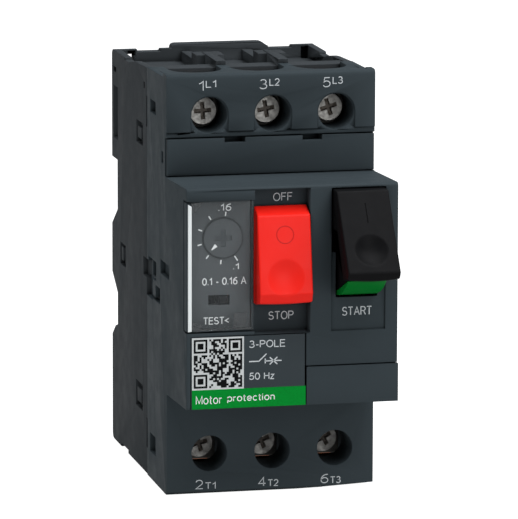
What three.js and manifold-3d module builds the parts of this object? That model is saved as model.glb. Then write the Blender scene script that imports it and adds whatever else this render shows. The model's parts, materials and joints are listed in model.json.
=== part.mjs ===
// Three-pole motor protection breaker with rocker buttons, clipped to a 35 mm top-hat rail.
//
// Millimetres, X to the right, Y to the back, Z up. The origin is the middle of the rail seat,
// so the rail's centreline is z = 0 and its front face lies on y = 0. Every moving piece is
// shown at rest: switched off, terminals open, window shut.

import * as THREE from "three";
import { mergeVertices } from "three/addons/utils/BufferGeometryUtils.js";
import Module from "manifold-3d";

const wasm = await Module();
wasm.setup();

// ---------------------------------------------------------------- driving dimensions

const WIDTH = 44.5;
const HEIGHT = 89;
const SIDE = WIDTH / 2;
const TOP = HEIGHT / 2;
const BACK_Y = 6; // rear face, behind the rail seat
const SEAM_Y = -32; // joint between base and front cover
const FRONT_Y = -52.2; // face of the terminal blocks
const PANEL_Y = -72.2; // face of the control panel, 78.2 in front of the rear face
const WALL = 2;
const CAVITY_X = SIDE - WALL;
const TOUCH = 0.3; // clearance between neighbouring pieces
const PAST = 1; // how far a cutter runs past the face it opens

const POLES = [-13.1, 0.4, 13.9]; // 13.5 pitch
const BARRIERS = [-6.35, 7.15]; // walls between the poles
const BARRIER_THICK = 1.4;

const RAIL_TOP = 18.5; // the rail's slot, a little wider than the rail's 35
const RAIL_BOTTOM = -17.8;

const TERMINAL_Z = 35.8; // screw height above and below the rail's centreline
const DRIVER_R = 3.8; // hole that a screwdriver goes into
const CLAMP_Y = -42.6; // front end of the clamping chamber
const FUNNEL_R = 5.6;
const FUNNEL_Y = -37;
const BAR_Y = -33; // front face of the terminal bars
const BAR_THICK = 1.4;
const SCREW_HEAD_R = 3.05;
const SCREW_HEAD_Y = -45.2;
const LOAD_SCREW_DEPTH = 3.5; // the load screws are driven in five turns, the line screws are open

const BLANK_Z = [23.1, 31.25]; // strip over the bay for an add-on contact block
const PANEL_TOP = 23.9;
const PANEL_BOTTOM = -22.1;
const PANEL_INNER_Y = PANEL_Y + 2.2;
const PANEL_CEILING = 22.2;

const WINDOW_X = [-SIDE, -7.95];
const WINDOW_Z = [-6.1, 21.2];
const WINDOW_HINGE = [-21.4, -70.6]; // x, y of the upright hinge line
const PLATE_Y = [-68.9, -67.7]; // scale plate behind the window
const DIAL = [-14, 13]; // x, z of the setting dial's axis
const DIAL_R = 4.1;
const TEST_SLOT = { x: [-17, -12.5], z: [-1, 1.1] };

const STOP_X = [-7.95, 3.75];
const STOP_FLOOR_Y = -68.8;
const STOP_PIVOT = [-64, 19.6]; // y, z
const START_X = [8.2, 19.6];
const START_NECK_X = [9.2, 18];
const START_PIVOT = [-68.4, 19.6]; // y, z
const START_DRUM_R = 19.2; // round underside of the start button, about its pivot
const SHAFT_R = 1;
const SHAFT_BOSS_R = 2.1;

const CONTACT_Z = [6.75, 21.75]; // lower and upper breaking points of each pole
const CONTACT_R = 1.7;
const FIXED_Y = -13.4; // front face of the fixed contacts
const BRIDGE_Y = -19.9; // front face of the moving bridges, switched off
const CARRIER_Z = [11.4, 17];
const COIL_Z = -6.2;

const DRIVE_ROD = [13.2, 9.2]; // x, z of the rod between start button and contact carrier
const TRIP_PIVOT = [-46, -24];

// ---------------------------------------------------------------- shape helpers

const X = new THREE.Vector3(1, 0, 0);
const Y = new THREE.Vector3(0, 1, 0);
const Z = new THREE.Vector3(0, 0, 1);

// A closed geometry as a solid that can be joined and cut.
function solid(geometry) {
  const bare = geometry.index ? geometry.toNonIndexed() : geometry.clone();
  bare.deleteAttribute("normal");
  bare.deleteAttribute("uv");
  const merged = mergeVertices(bare, 1e-4);
  return new wasm.Manifold(
    new wasm.Mesh({
      numProp: 3,
      vertProperties: merged.attributes.position.array,
      triVerts: new Uint32Array(merged.index.array),
    }),
  );
}

const join = (...pieces) => pieces.reduce((sum, piece) => sum.add(piece));
const cut = (body, ...tools) => tools.reduce((rest, tool) => rest.subtract(tool), body);

// A block between low and high values along each axis.
function box(x, y, z) {
  const geometry = new THREE.BoxGeometry(x[1] - x[0], y[1] - y[0], z[1] - z[0]);
  geometry.translate((x[0] + x[1]) / 2, (y[0] + y[1]) / 2, (z[0] + z[1]) / 2);
  return solid(geometry);
}

// A round bar along an axis; centre holds the other two coordinates, in X, Y, Z order.
function rod(axis, radius, span, centre, sides = 24) {
  const geometry = new THREE.CylinderGeometry(radius, radius, span[1] - span[0], sides);
  const middle = (span[0] + span[1]) / 2;
  if (axis === "x") geometry.rotateZ(Math.PI / 2).translate(middle, ...centre);
  if (axis === "y") geometry.translate(centre[0], middle, centre[1]);
  if (axis === "z") geometry.rotateX(Math.PI / 2).translate(...centre, middle);
  return solid(geometry);
}

// An outline of [a, b] corners; a third number rounds that corner.
function rounded(outline) {
  return outline.flatMap(([a, b, radius], i) => {
    const corner = new THREE.Vector2(a, b);
    if (!radius) return [corner];
    const [before, after] = [i - 1, i + 1].map((k) => {
      const [c, d] = outline.at(k % outline.length);
      return new THREE.Vector2(c, d).sub(corner).setLength(radius).add(corner);
    });
    return new THREE.QuadraticBezierCurve(before, corner, after).getPoints(4);
  });
}

// An outline swept along an axis: (y, z) along X, (x, z) along Y, or (x, y) along Z.
function prism(axis, outline, span) {
  const depth = span[1] - span[0];
  const shape = new THREE.Shape(rounded(outline));
  const geometry = new THREE.ExtrudeGeometry(shape, { depth, bevelEnabled: false });
  const place = new THREE.Matrix4();
  if (axis === "x") place.makeBasis(Y, Z, X).setPosition(span[0], 0, 0);
  if (axis === "y") place.makeBasis(X, Z, Y.clone().negate()).setPosition(0, span[1], 0);
  if (axis === "z") place.setPosition(0, 0, span[0]);
  return solid(geometry.applyMatrix4(place));
}

// A profile of [radius, y] points turned about a line along Y through (x, z).
function turned(profile, [x, z], sides = 24) {
  const points = profile.map(([radius, y]) => new THREE.Vector2(radius, y));
  return solid(new THREE.LatheGeometry(points, sides).translate(x, 0, z));
}

// A coil spring of round wire along a unit axis.
function spring(start, axis, length, radius, wire, turns) {
  const side = axis === Y ? X : Y;
  const up = new THREE.Vector3().crossVectors(axis, side);
  class Helix extends THREE.Curve {
    getPoint(t, target = new THREE.Vector3()) {
      const angle = 2 * Math.PI * turns * t;
      return target
        .copy(start)
        .addScaledVector(axis, length * t)
        .addScaledVector(side, radius * Math.cos(angle))
        .addScaledVector(up, radius * Math.sin(angle));
    }
  }
  const section = new THREE.Shape();
  section.absarc(0, 0, wire, 0, 2 * Math.PI);
  return solid(
    new THREE.ExtrudeGeometry(section, {
      steps: turns * 7,
      curveSegments: 3,
      extrudePath: new Helix(),
    }),
  );
}

const mirrored = (piece) => piece.scale([1, 1, -1]);
const around = (centre, half) => [centre - half, centre + half];

// ---------------------------------------------------------------- materials and group

const finish = (color, roughness, metalness = 0) =>
  new THREE.MeshStandardMaterial({ color, roughness, metalness });

const HOUSING = finish(0x42474a, 0.6);
const COVER = finish(0x343a3e, 0.55);
const BLACK = finish(0x28292a, 0.45);
const RED = finish(0xeb2d23, 0.35);
const GREEN = finish(0x00641e, 0.45);
const CREAM = finish(0xd8d2c0, 0.6);
const CLEAR = finish(0x8e9496, 0.15);
const PLATE = finish(0x565c60, 0.55);
const STEEL = finish(0xb9b9b4, 0.35, 0.9);
const COPPER = finish(0xc07a50, 0.35, 0.9);
const BRASS = finish(0xc9ac5e, 0.35, 0.9);

const breaker = new THREE.Group();

function add(name, shape, material) {
  const made = shape.getMesh();
  const geometry = new THREE.BufferGeometry();
  geometry.setAttribute("position", new THREE.BufferAttribute(made.vertProperties, 3));
  geometry.setIndex(new THREE.BufferAttribute(made.triVerts, 1));
  geometry.computeVertexNormals();
  const mesh = new THREE.Mesh(geometry, material);
  mesh.name = name;
  breaker.add(mesh);
}

// ---------------------------------------------------------------- housing details

// Recesses moulded in both flanks: y range and z range, with a depth where it differs from the
// usual one, and an island where a boss is left standing inside.
const FLANK_DEPTH = 1;
const FLANK_RECESSES = [
  { y: [-41.1, -35.6], z: [34.5, 37.2] },
  { y: [-40.7, -35], z: [-38.5, -34.5] },
  { y: [-27.6, -20.8], z: [25.9, 30.7], island: { y: [-26.2, -22.4], z: [27.1, 29.5] } },
  { y: [-27.2, -19.9], z: [-31.5, -25.9], island: { y: [-25.8, -21.6], z: [-30.2, -27.2] } },
  { y: [-41.4, -33.6], z: [-0.7, 3.3], depth: 2.5 },
  { y: [-33.7, -28], z: [-1.6, 2.4] },
  { y: [-37.9, -31.6], z: [-5.3, -0.6] },
  { y: [-45.5, -40.9], z: [-4.9, -1.6] },
  { y: [-45.5, -37.8], z: [-4.9, -4.2] },
  { y: [-54.8, -46], z: [1.9, 4.8] },
  { y: [-48.8, -47], z: [25.5, 27.9] },
  { y: [-29.6, -28.6], z: [38.5, 39.8] },
  { y: [1.2, 4.2], z: [37.5, 38.6] },
  { y: [-0.6, 3.9], z: [23, 34.4], depth: 2.4 },
  { y: [-8.9, -3.2], z: [-3.7, 1.1], island: { y: [-6.6, -4.6], z: [-2.6, 0.4] } },
  { y: [-11.4, -4], z: [-TOP - PAST, -43.4] },
  // Groove along the seam between base and front cover.
  { y: [-32.3, -31.2], z: [30.7, 37.2] },
  { y: [-32.3, -31.2], z: [-38.4, -32] },
];

function flankCutters() {
  return [-1, 1].flatMap((side) => {
    const edge = side * SIDE;
    return FLANK_RECESSES.map(({ y, z, depth = FLANK_DEPTH, island }) => {
      const span = around(edge, depth);
      const recess = box(span, y, z);
      return island ? cut(recess, box(span, island.y, island.z)) : recess;
    });
  });
}

// The top and bottom wire entries: a half-round mouth, open towards the back.
function funnel(pole, z) {
  const round = rod("z", FUNNEL_R, z, [pole, FUNNEL_Y], 32);
  return join(round, box(around(pole, FUNNEL_R), [FUNNEL_Y, SEAM_Y + PAST], z));
}

// ---------------------------------------------------------------- base housing

const BASE_TOP = 43.3;
const TOP_POCKET_Z = 39.3; // floor of the open pocket behind the line terminals
const CAVITY_Z = [-42.3, 37.9];
const CAVITY_BACK_Y = -1.8;
const TERMINAL_BACK_Y = -28.2;
const LEDGE_Z = 42.9; // thin rim behind the wire entries

function baseHousing() {
  const side = [
    [SEAM_Y, BASE_TOP],
    [-18.5, BASE_TOP - 0.5, 3],
    [-12.6, 41.7],
    [-8.4, 41.7],
    [-8.4, 42.2, 0.6],
    [BACK_Y, 42.2, 1.6],
    [BACK_Y, RAIL_TOP],
    [0, RAIL_TOP],
    [0, RAIL_BOTTOM],
    [2.4, RAIL_BOTTOM - 0.6],
    [BACK_Y, RAIL_BOTTOM - 3],
    [BACK_Y, -TOP + 0.3, 1.6],
    [SEAM_Y, -TOP + 0.3],
  ];
  const saddle = [
    [-PAST, 7.8],
    [0, 7.8],
    [BACK_Y, 3.9],
    [BACK_Y, -7.1],
    [0, -10.8],
    [-PAST, -10.8],
  ];
  const crest = [
    [-9.6, 40],
    [-9.6, 43.1, 1.1],
    [11, 43.1, 1.3],
    [11.9, 41.8],
    [11.9, 40],
  ];
  const body = join(
    prism("x", side, [-SIDE, SIDE]),
    prism("x", saddle, [-SIDE, -7]),
    prism("x", saddle, [7, SIDE]),
    prism("y", crest, [3, BACK_Y]),
  );

  const pocketX = CAVITY_X + 0.4;
  const cutters = [
    box([-pocketX, pocketX], [TERMINAL_BACK_Y + 1.2, 3], [TOP_POCKET_Z, TOP]),
    box([-pocketX, pocketX], [SEAM_Y - PAST, TERMINAL_BACK_Y + 1.3], [LEDGE_Z, TOP]),
    // Slit through the left ear, and blind recesses in the front of both ears.
    box([-20.3, -17.9], [2, BACK_Y + PAST], [38.6, 40.9]),
    box([-19.3, -17.6], [2, 5], [40.8, 41.9]),
    box([19.3, 21], [2, 5], [39, 41.8]),
    box([-17.2, -12], [2, BACK_Y + PAST], [41.6, TOP]),
    box([11.95, 17.2], [2, BACK_Y + PAST], [41.6, TOP]),
    ...flankCutters(),
  ];

  // One open bay for each pole, with a taller stretch where its terminal bar stands.
  const walls = [-CAVITY_X, ...BARRIERS, CAVITY_X];
  POLES.forEach((pole, i) => {
    const low = walls[i] + (i === 0 ? 0 : BARRIER_THICK / 2);
    const high = walls[i + 1] - (i === 2 ? 0 : BARRIER_THICK / 2);
    cutters.push(box([low, high], [SEAM_Y - PAST, CAVITY_BACK_Y], CAVITY_Z));
    cutters.push(box(around(pole, 5.2), [SEAM_Y - PAST, TERMINAL_BACK_Y], [30, 41.4]));
    cutters.push(box(around(pole, 3.2), [-24, -8], [CAVITY_Z[1] - PAST, TOP]));
  });
  // Gates in the barriers for the contact carrier and for the tripping slide.
  cutters.push(box([-12, 12], [SEAM_Y - PAST, -22.8], [CARRIER_Z[0] - 0.6, CARRIER_Z[1] + 0.6]));
  cutters.push(box([-12, 12], [SEAM_Y - PAST, -26.8], [-16.6, -11.9]));
  // Channel of the rail clip, and of the tab that a screwdriver pulls.
  cutters.push(box([-5.3, 5.3], [1.9, 4.9], [-TOP - PAST, RAIL_BOTTOM + PAST]));
  cutters.push(box([-5.3, 5.3], [1, 4.9], [-23.2, RAIL_BOTTOM + PAST]));
  cutters.push(box([-5.3, 5.3], [-10.1, 2], [-TOP - PAST, -43.1]));

  // Barriers stand proud of the rim between the wire entries, with a wider head at the back.
  const fins = BARRIERS.flatMap((x) => [
    box(around(x, 1.1), [SEAM_Y, -18], [40, TOP - 0.2]),
    box(around(x, 3), [-21.5, -16.5], [38.5, TOP - 0.4]),
    box(around(x, 1.1), [-16.6, 3.5], [38.5, 41.5]),
  ]);
  // Peg that the rail clip's spring stands on.
  const peg = box([-1.6, 1.6], [1.5, 5.3], [-37.4, -36]);
  return join(cut(body, ...cutters), ...fins, peg);
}

add("base_housing", baseHousing(), HOUSING);

// ---------------------------------------------------------------- front cover

const BLANK_SEAT_Y = -50.6;
const BLANK_NOTCHES = [
  [-9.9, -5.5],
  [6.75, 10.9],
];
const LABEL = { x: [-21.3, 2.6], z: [-21.95, -7] };
const MARKER = { x: [3, SIDE + 0.18], z: [-22, -14] };
// The lower edge of the load terminals' face rises towards its right end.
const LOWER_EDGE = [
  [-SIDE - PAST, -TOP],
  [-2, -TOP],
  [5, -TOP + 0.06],
  [11, -TOP + 0.28],
  [17, -TOP + 0.62],
  [SIDE + PAST, -TOP + 0.95],
];

function frontCover() {
  const block = [
    [SEAM_Y, BASE_TOP + 0.1],
    [-48, BASE_TOP + 0.4],
    [-48.6, TOP],
    [FRONT_Y, TOP, 1],
    [FRONT_Y, -TOP, 1.2],
    [SEAM_Y, -TOP + 0.1],
  ];
  const panel = [
    [-49, 22.9],
    [PANEL_Y, PANEL_TOP, 0.9],
    [PANEL_Y, PANEL_BOTTOM, 0.6],
    [-49, -23],
  ];
  const outer = join(
    prism("x", block, [-SIDE, SIDE]),
    prism("x", panel, [-SIDE, SIDE]),
  );

  const roofSlope = [
    [-51, TOP + PAST],
    [-51, TOP],
    [-43, TOP - 1],
    [SEAM_Y + PAST, TOP - 1],
    [SEAM_Y + PAST, TOP + PAST],
  ];
  const under = [...LOWER_EDGE, [SIDE + PAST, -TOP - PAST], [-SIDE - PAST, -TOP - PAST]];
  const hollow = [
    prism("y", under, [FRONT_Y - PAST, SEAM_Y + PAST]),
    box([-CAVITY_X, CAVITY_X], [-49, SEAM_Y + PAST], [-28.5, 28.5]),
    box([-20.6, 20.6], [PANEL_INNER_Y, -48], [-20.3, PANEL_CEILING]),
    prism("x", roofSlope, [-SIDE + 1.3, SIDE - 1.3]),
    box([-SIDE - PAST, SIDE + PAST], [FRONT_Y - PAST, BLANK_SEAT_Y], BLANK_Z),
    ...BLANK_NOTCHES.map((x) => box(x, [-52, -48], [29.7, BLANK_Z[1]])),
  ];

  // Pads that carry the floors of the window and stop recesses, and the bosses of the shafts.
  const [stopY, pivotZ] = STOP_PIVOT;
  const [startY] = START_PIVOT;
  const inner = [
    box([-20.8, -7.8], [PANEL_Y + PAST, -65.8], [-7.6, PANEL_CEILING + 0.3]),
    box([-9.4, 5.1], [PANEL_Y + PAST, -67.2], [-8.2, PANEL_CEILING + 0.3]),
    box([-10.4, -8.3], [-67, stopY + 2.2], [17.2, PANEL_CEILING + 0.3]),
    box([4.1, 5.1], [-67.3, stopY + 2.2], [17.2, PANEL_CEILING + 0.3]),
    box([5.9, 7.6], [PANEL_INNER_Y - 0.3, startY + 2.2], [17.2, PANEL_CEILING + 0.3]),
    box([19.9, 20.8], [PANEL_INNER_Y - 0.3, startY + 2.2], [17.2, PANEL_CEILING + 0.3]),
    // Bearings of the trip lever, on the wall below the panel's cavity.
    box([-17, -15.4], [-49.5, -43.5], [-27, -21]),
    box([-3.2, -1.6], [-49.5, -43.5], [-27, -21]),
  ];

  const faceDepth = 0.4;
  const raised = FRONT_Y + faceDepth;
  const openings = [
    // Window recess, open through the left flank, with the two bearings of its hinge.
    box([-21.3, WINDOW_X[1]], [PANEL_Y - PAST, -67.4], WINDOW_Z),
    box([-SIDE - PAST, -21.2], [PANEL_Y - PAST, -69], WINDOW_Z),
    rod("z", 0.85, [WINDOW_Z[0] - 1.2, WINDOW_Z[1] + 1.2], WINDOW_HINGE),
    rod("y", 2.3, [-68, -65], DIAL),
    box([-17.3, -12.2], [-68, -65], [-1.2, 1.3]),
    // Stop recess and the neck opening in its floor.
    box(STOP_X, [PANEL_Y - PAST, STOP_FLOOR_Y], [-6.8, 23.3]),
    box([-7.2, 3.1], [-70, -66], [-0.4, 19.2]),
    // Start recess: shallow, wide opening above, neck opening below.
    box(START_X, [PANEL_Y - PAST, PANEL_Y + 0.5], [-6.7, 23.1]),
    box(START_X, [PANEL_Y, PANEL_INNER_Y + 0.3], [9.6, 23.1]),
    box(START_NECK_X, [PANEL_Y, PANEL_INNER_Y + 0.3], [0.2, 10]),
    // Shallow seats of the label and of the marker plate.
    box([LABEL.x[0] - 0.06, 2.9], [PANEL_Y - PAST, PANEL_Y + 0.5], [-24, LABEL.z[1] + 0.06]),
    box([2.8, SIDE + PAST], [PANEL_Y - PAST, PANEL_Y + 1.4], [-24, MARKER.z[1] + 0.2]),
    // Bores of both button shafts and of the trip lever.
    rod("x", SHAFT_R + 0.1, [-9.9, 5.2], [stopY, pivotZ]),
    rod("x", SHAFT_R + 0.1, [5.8, 20.5], [startY, pivotZ]),
    rod("x", 1.15, [-18, -1], TRIP_PIVOT),
    // Step under the raised fields of both terminal faces.
    box([-SIDE - PAST, SIDE + PAST], [FRONT_Y - PAST, raised], [BLANK_Z[1] - 0.1, 32.4]),
    ...flankCutters(),
  ];
  for (const pole of POLES) {
    for (const flip of [(piece) => piece, mirrored]) {
      openings.push(flip(rod("y", DRIVER_R, [FRONT_Y - PAST, CLAMP_Y + 0.1], [pole, TERMINAL_Z], 32)));
      openings.push(flip(box(around(pole, 5.2), [CLAMP_Y, SEAM_Y + PAST], [30, 42])));
      openings.push(flip(funnel(pole, [41.5, TOP + PAST])));
    }
    openings.push(box(around(pole, 4.6), [BAR_Y - 0.6, SEAM_Y + PAST], [28, 30.2]));
    // Arched field round each upper screw hole.
    openings.push(rod("y", DRIVER_R + 0.25, [FRONT_Y - PAST, raised], [pole, TERMINAL_Z], 32));
    openings.push(
      box(around(pole, DRIVER_R + 0.25), [FRONT_Y - PAST, raised], [32.3, TERMINAL_Z]),
    );
  }
  const shell = join(cut(outer, ...hollow), ...inner);
  return cut(shell, ...openings);
}

add("front_cover", frontCover(), COVER);

const blank = box([-SIDE + 0.2, SIDE - 0.2], [FRONT_Y + 0.1, BLANK_SEAT_Y - TOUCH], [23.3, 31]);
add(
  "contact_block_blank",
  cut(blank, ...BLANK_NOTCHES.map((x) => box(x, [-54, -50], [30, 32]))),
  COVER,
);

const markerOutline = [
  [MARKER.x[0], MARKER.z[0]],
  [MARKER.x[0], MARKER.z[1]],
  [MARKER.x[1], MARKER.z[1]],
  [MARKER.x[1], MARKER.z[0]],
];
add("marker_plate", prism("y", markerOutline, [PANEL_Y - 0.15, PANEL_Y + 1.1]), COVER);

add("rating_label", box(LABEL.x, [PANEL_Y - 0.05, PANEL_Y + 0.2], LABEL.z), PLATE);

// ---------------------------------------------------------------- setting window

function windowCover() {
  const [left, right] = [-SIDE, -8.15];
  const z = [WINDOW_Z[0] + 0.2, WINDOW_Z[1] - 0.2];
  const [hingeX, hingeY] = WINDOW_HINGE;
  return join(
    box([left, right], [PANEL_Y, PANEL_Y + 1], z),
    box([left, -21.25], [PANEL_Y, -69.5], z),
    box([-12.2, -9.7], [PANEL_Y, -70], [-5.4, -2.2]),
    rod("z", 0.7, [WINDOW_Z[0] - 0.9, z[0] + 2], [hingeX, hingeY], 16),
    rod("z", 0.7, [z[1] - 2, WINDOW_Z[1] + 0.9], [hingeX, hingeY], 16),
  );
}

add("window_cover", windowCover(), CLEAR);

const scalePlate = cut(
  box([-21, -8.25], PLATE_Y, [WINDOW_Z[0] + 0.2, WINDOW_Z[1] - 0.2]),
  rod("y", DIAL_R + 0.2, [-70, -66], DIAL, 40),
  box(TEST_SLOT.x, [-70, -66], TEST_SLOT.z),
);
add("scale_plate", scalePlate, PLATE);

function settingDial() {
  const [x, z] = DIAL;
  const profile = [
    [0, -61],
    [2, -61],
    [2, -67.7],
    [DIAL_R, -67.7],
    [DIAL_R, -69.1],
    [DIAL_R - 0.2, -69.3],
    [0, -69.3],
  ];
  const slot = [-69.5, -68.3];
  return cut(
    turned(profile.reverse(), DIAL, 40),
    box(around(x, 1.7), slot, around(z, 0.45)),
    box(around(x, 0.45), slot, around(z, 1.7)),
  );
}

add("setting_dial", settingDial(), PLATE);

// The leg behind the slider reaches back to the peg of the tripping slide.
const testSlider = join(
  box([-14.8, -12.8], [-68.7, -64], [-0.8, 0.9]),
  box([-15, -12.6], [-65.4, -62], [-2, 2.2]),
  box([-14.7, -13.4], [-63, -33], [-1.6, 1]),
  box([-14.7, -13.4], [-35.6, -33], [-15, 1]),
);
add("test_slider", testSlider, BLACK);

// ---------------------------------------------------------------- rocker buttons

const CAP_MARGIN = 0.2;
const THUMB_R = 9;

// A shallow thumb hollow in a face that leans back by an angle, scooped by a ball in front of it.
function thumb(x, [y, z], lean, depth) {
  const out = THUMB_R - depth;
  const ball = new THREE.SphereGeometry(THUMB_R, 28, 18);
  return solid(ball.translate(x, y - out * Math.cos(lean), z + out * Math.sin(lean)));
}

function stopButton() {
  const [y, z] = STOP_PIVOT;
  const cap = [
    [-69.6, 19.6],
    [-72.9, 17.85, 0.7],
    [-75.7, 2, 0.9],
    [-75.1, 0, 0.5],
    [-71, -1],
    [-69.1, -1.1],
    [-69.1, 18],
  ];
  const neck = [
    [-69.3, 15.6],
    [-66, 18],
    [-64.5, 18.5],
    [-62.4, 15],
    [-64.5, 4],
    [-66.4, 0.5],
    [-69.3, 0.7],
  ];
  const x = [STOP_X[0] + 0.35, STOP_X[1] - CAP_MARGIN];
  const middle = (x[0] + x[1]) / 2;
  return cut(
    join(
      prism("x", cap, x),
      prism("x", neck, [-6.9, 2.8]),
      rod("x", SHAFT_BOSS_R, [-6.9, 2.8], [y, z]),
    ),
    rod("x", SHAFT_R + 0.1, [-8, 4], [y, z]),
    thumb(middle, [-75.05, 6], 0.18, 0.8),
  );
}

add("stop_button", stopButton(), RED);

// The start cap is drawn swung out; its round underside is a separate green piece.
function startCap() {
  const [y, z] = START_PIVOT;
  const cap = [
    [-75.4, 22.9, 0.6],
    [-86.3, 7.65, 0.6],
    [-85.6, 6.3, 0.5],
    [-81.3, 5.4],
    [-76.2, 14.4],
    [-71, 14.4],
    [-71, 22.9],
  ];
  const neck = [
    [-70.4, 20.5],
    [-75, 20],
    [-81.1, 8.2],
    [-80.9, 5.4],
    [-73, 2.2],
    [-69.6, 1.3],
    [-66.6, 4],
    [-66.8, 18],
  ];
  const tail = [
    [-68.5, 7.5],
    [-68.5, 11.5],
    [-60.6, 12],
    [-60.4, 10.2],
  ];
  const x = [START_X[0] + CAP_MARGIN, START_X[1] - CAP_MARGIN];
  const neckX = [START_NECK_X[0] + 0.3, START_NECK_X[1] - 0.3];
  const middle = (x[0] + x[1]) / 2;
  return cut(
    join(
      prism("x", cap, x),
      prism("x", neck, neckX),
      prism("x", tail, around(middle, 1.5)),
      rod("x", SHAFT_BOSS_R, neckX, [y, z]),
    ),
    rod("x", SHAFT_R + 0.1, START_X, [y, z]),
    thumb(middle, [-82.95, 12.35], 0.62, 0.7),
  );
}

add("start_cap", startCap(), BLACK);

function startUnderside() {
  const [y, z] = START_PIVOT;
  const point = (angle) => [
    y - START_DRUM_R * Math.sin(angle),
    z - START_DRUM_R * Math.cos(angle),
  ];
  const arc = [0.02, 0.12, 0.22, 0.32, 0.42, 0.52, 0.62, 0.715].map(point);
  const outline = [...arc, [-80.9, 5.25], [-73, 2.05], [-69.6, 1.15]];
  return prism("x", outline, [START_NECK_X[0] + 0.3, START_NECK_X[1] - 0.3]);
}

add("start_underside", startUnderside(), GREEN);

add("stop_shaft", rod("x", SHAFT_R, [-9.8, 5], STOP_PIVOT, 16), STEEL);
add("start_shaft", rod("x", SHAFT_R, [6, 20.4], START_PIVOT, 16), STEEL);

// ---------------------------------------------------------------- switching mechanism

function mechanismFrame() {
  const [x, z] = DRIVE_ROD;
  const plateY = [-48.4, -35];
  const guide = cut(
    box([6.8, 19.8], [-46, -44.8], [4, 21]),
    rod("y", 2.3, [-47, -44], [x, z]),
  );
  return join(
    box([6.8, 7.6], plateY, [4, 21]),
    box([19, 19.8], plateY, [4, 21]),
    box([6.8, 19.8], plateY, [20.2, 21]),
    guide,
  );
}

add("mechanism_frame", mechanismFrame(), STEEL);

// Follows the tail of the start button and pushes the contact carrier back.
function driveRod() {
  const [x, z] = DRIVE_ROD;
  return join(
    box([10.4, 16.4], [-59.4, -58.2], [6, 15.8]),
    rod("y", 2, [-58.4, -39.9], [x, z]),
  );
}

add("drive_rod", driveRod(), CREAM);

function contactCarrier() {
  const beam = box([-19.4, 19.7], [-30.5, -26.9], CARRIER_Z);
  const boss = box([11.2, 15.2], [-39.5, -30], [5.5, 13]);
  const forks = POLES.flatMap((pole) => [
    box([pole - 4.1, pole - 3.1], [-27, -16.8], [12, 16.4]),
    box([pole + 3.1, pole + 4.1], [-27, -16.8], [12, 16.4]),
    box([pole - 4.1, pole + 4.1], [-17.9, -16.8], [12.6, 15.8]),
  ]);
  return join(beam, boss, ...forks);
}

add("contact_carrier", contactCarrier(), CREAM);

function tripSlide() {
  const bar = box([-18.2, 19.4], [-31, -27.5], [-16, -12.5]);
  const peg = box([-16.2, -15], [-35, -30], [-15.6, -13]);
  const fingers = POLES.map((pole) =>
    box([pole - 2.6, pole - 1.4], [-28, -21.5], [-15.6, -13.4]),
  );
  return join(bar, peg, ...fingers);
}

add("trip_slide", tripSlide(), CREAM);

function tripLever() {
  const arm = [
    [-47.6, -24.5],
    [-47, -20],
    [-33, -12.8],
    [-31.5, -14.4],
    [-44.4, -21.5],
    [-44.4, -24.5],
  ];
  return join(rod("x", SHAFT_R, [-16.8, -1.8], TRIP_PIVOT, 16), prism("x", arm, [-12.4, -8.6]));
}

add("trip_lever", tripLever(), STEEL);

// ---------------------------------------------------------------- one set of parts for each pole

const CLAMP_HALF = 4;

function terminalScrew(pole, z, depth) {
  const head = SCREW_HEAD_Y + depth;
  const profile = [
    [0, head + 12.9],
    [1.5, head + 12.9],
    [1.95, head + 12.3],
    [1.95, head + 2.3],
    [SCREW_HEAD_R, head + 2.3],
    [SCREW_HEAD_R, head + 0.3],
    [2.8, head],
    [0, head],
  ];
  const slot = [head - PAST, head + 1.1];
  return cut(
    turned(profile.reverse(), [pole, z]),
    box(around(pole, SCREW_HEAD_R - 0.5), slot, around(z, 0.4)),
    box(around(pole, 0.4), slot, around(z, 1.7)),
  );
}

function clampPlate(pole, z, depth) {
  const y = -42.5 + depth;
  return cut(
    join(
      box(around(pole, CLAMP_HALF), [y, y + 1.3], around(z, CLAMP_HALF)),
      box([pole - CLAMP_HALF, pole - CLAMP_HALF + 0.9], [y, y + 2.3], around(z, CLAMP_HALF)),
      box([pole + CLAMP_HALF - 0.9, pole + CLAMP_HALF], [y, y + 2.3], around(z, CLAMP_HALF)),
    ),
    rod("y", 2.15, [y - PAST, y + 2], [pole, z]),
  );
}

function lineContact(pole) {
  const strip = [
    [BAR_Y, 41.2],
    [BAR_Y, 28.6],
    [FIXED_Y, 28.6],
    [FIXED_Y, 19],
    [FIXED_Y + BAR_THICK, 19],
    [FIXED_Y + BAR_THICK, 30],
    [BAR_Y + BAR_THICK, 30],
    [BAR_Y + BAR_THICK, 41.2],
  ];
  return cut(
    join(
      prism("x", strip, around(pole, 3.8)),
      rod("y", 3.2, [BAR_Y + 1, BAR_Y + 3.4], [pole, TERMINAL_Z]),
      rod("y", CONTACT_R, [FIXED_Y - 0.8, FIXED_Y + 0.5], [pole, CONTACT_Z[1]], 16),
    ),
    rod("y", 2.1, [BAR_Y - PAST, BAR_Y + 5], [pole, TERMINAL_Z]),
  );
}

function fixedContact(pole) {
  return join(
    box(around(pole, 3.2), [FIXED_Y, FIXED_Y + BAR_THICK], [-0.4, 9.6]),
    rod("y", CONTACT_R, [FIXED_Y - 0.8, FIXED_Y + 0.5], [pole, CONTACT_Z[0]], 16),
  );
}

function loadContact(pole) {
  const strip = [
    [BAR_Y, -30.4],
    [BAR_Y, -41.2],
    [-17, -41.2],
    [-17, -39.8],
    [BAR_Y + BAR_THICK, -39.8],
    [BAR_Y + BAR_THICK, -30.4],
  ];
  return cut(
    join(
      prism("x", strip, around(pole, 3.8)),
      rod("y", 3.2, [BAR_Y + 1, BAR_Y + 3.4], [pole, -TERMINAL_Z]),
    ),
    rod("y", 2.1, [BAR_Y - PAST, BAR_Y + 5], [pole, -TERMINAL_Z]),
  );
}

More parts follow.
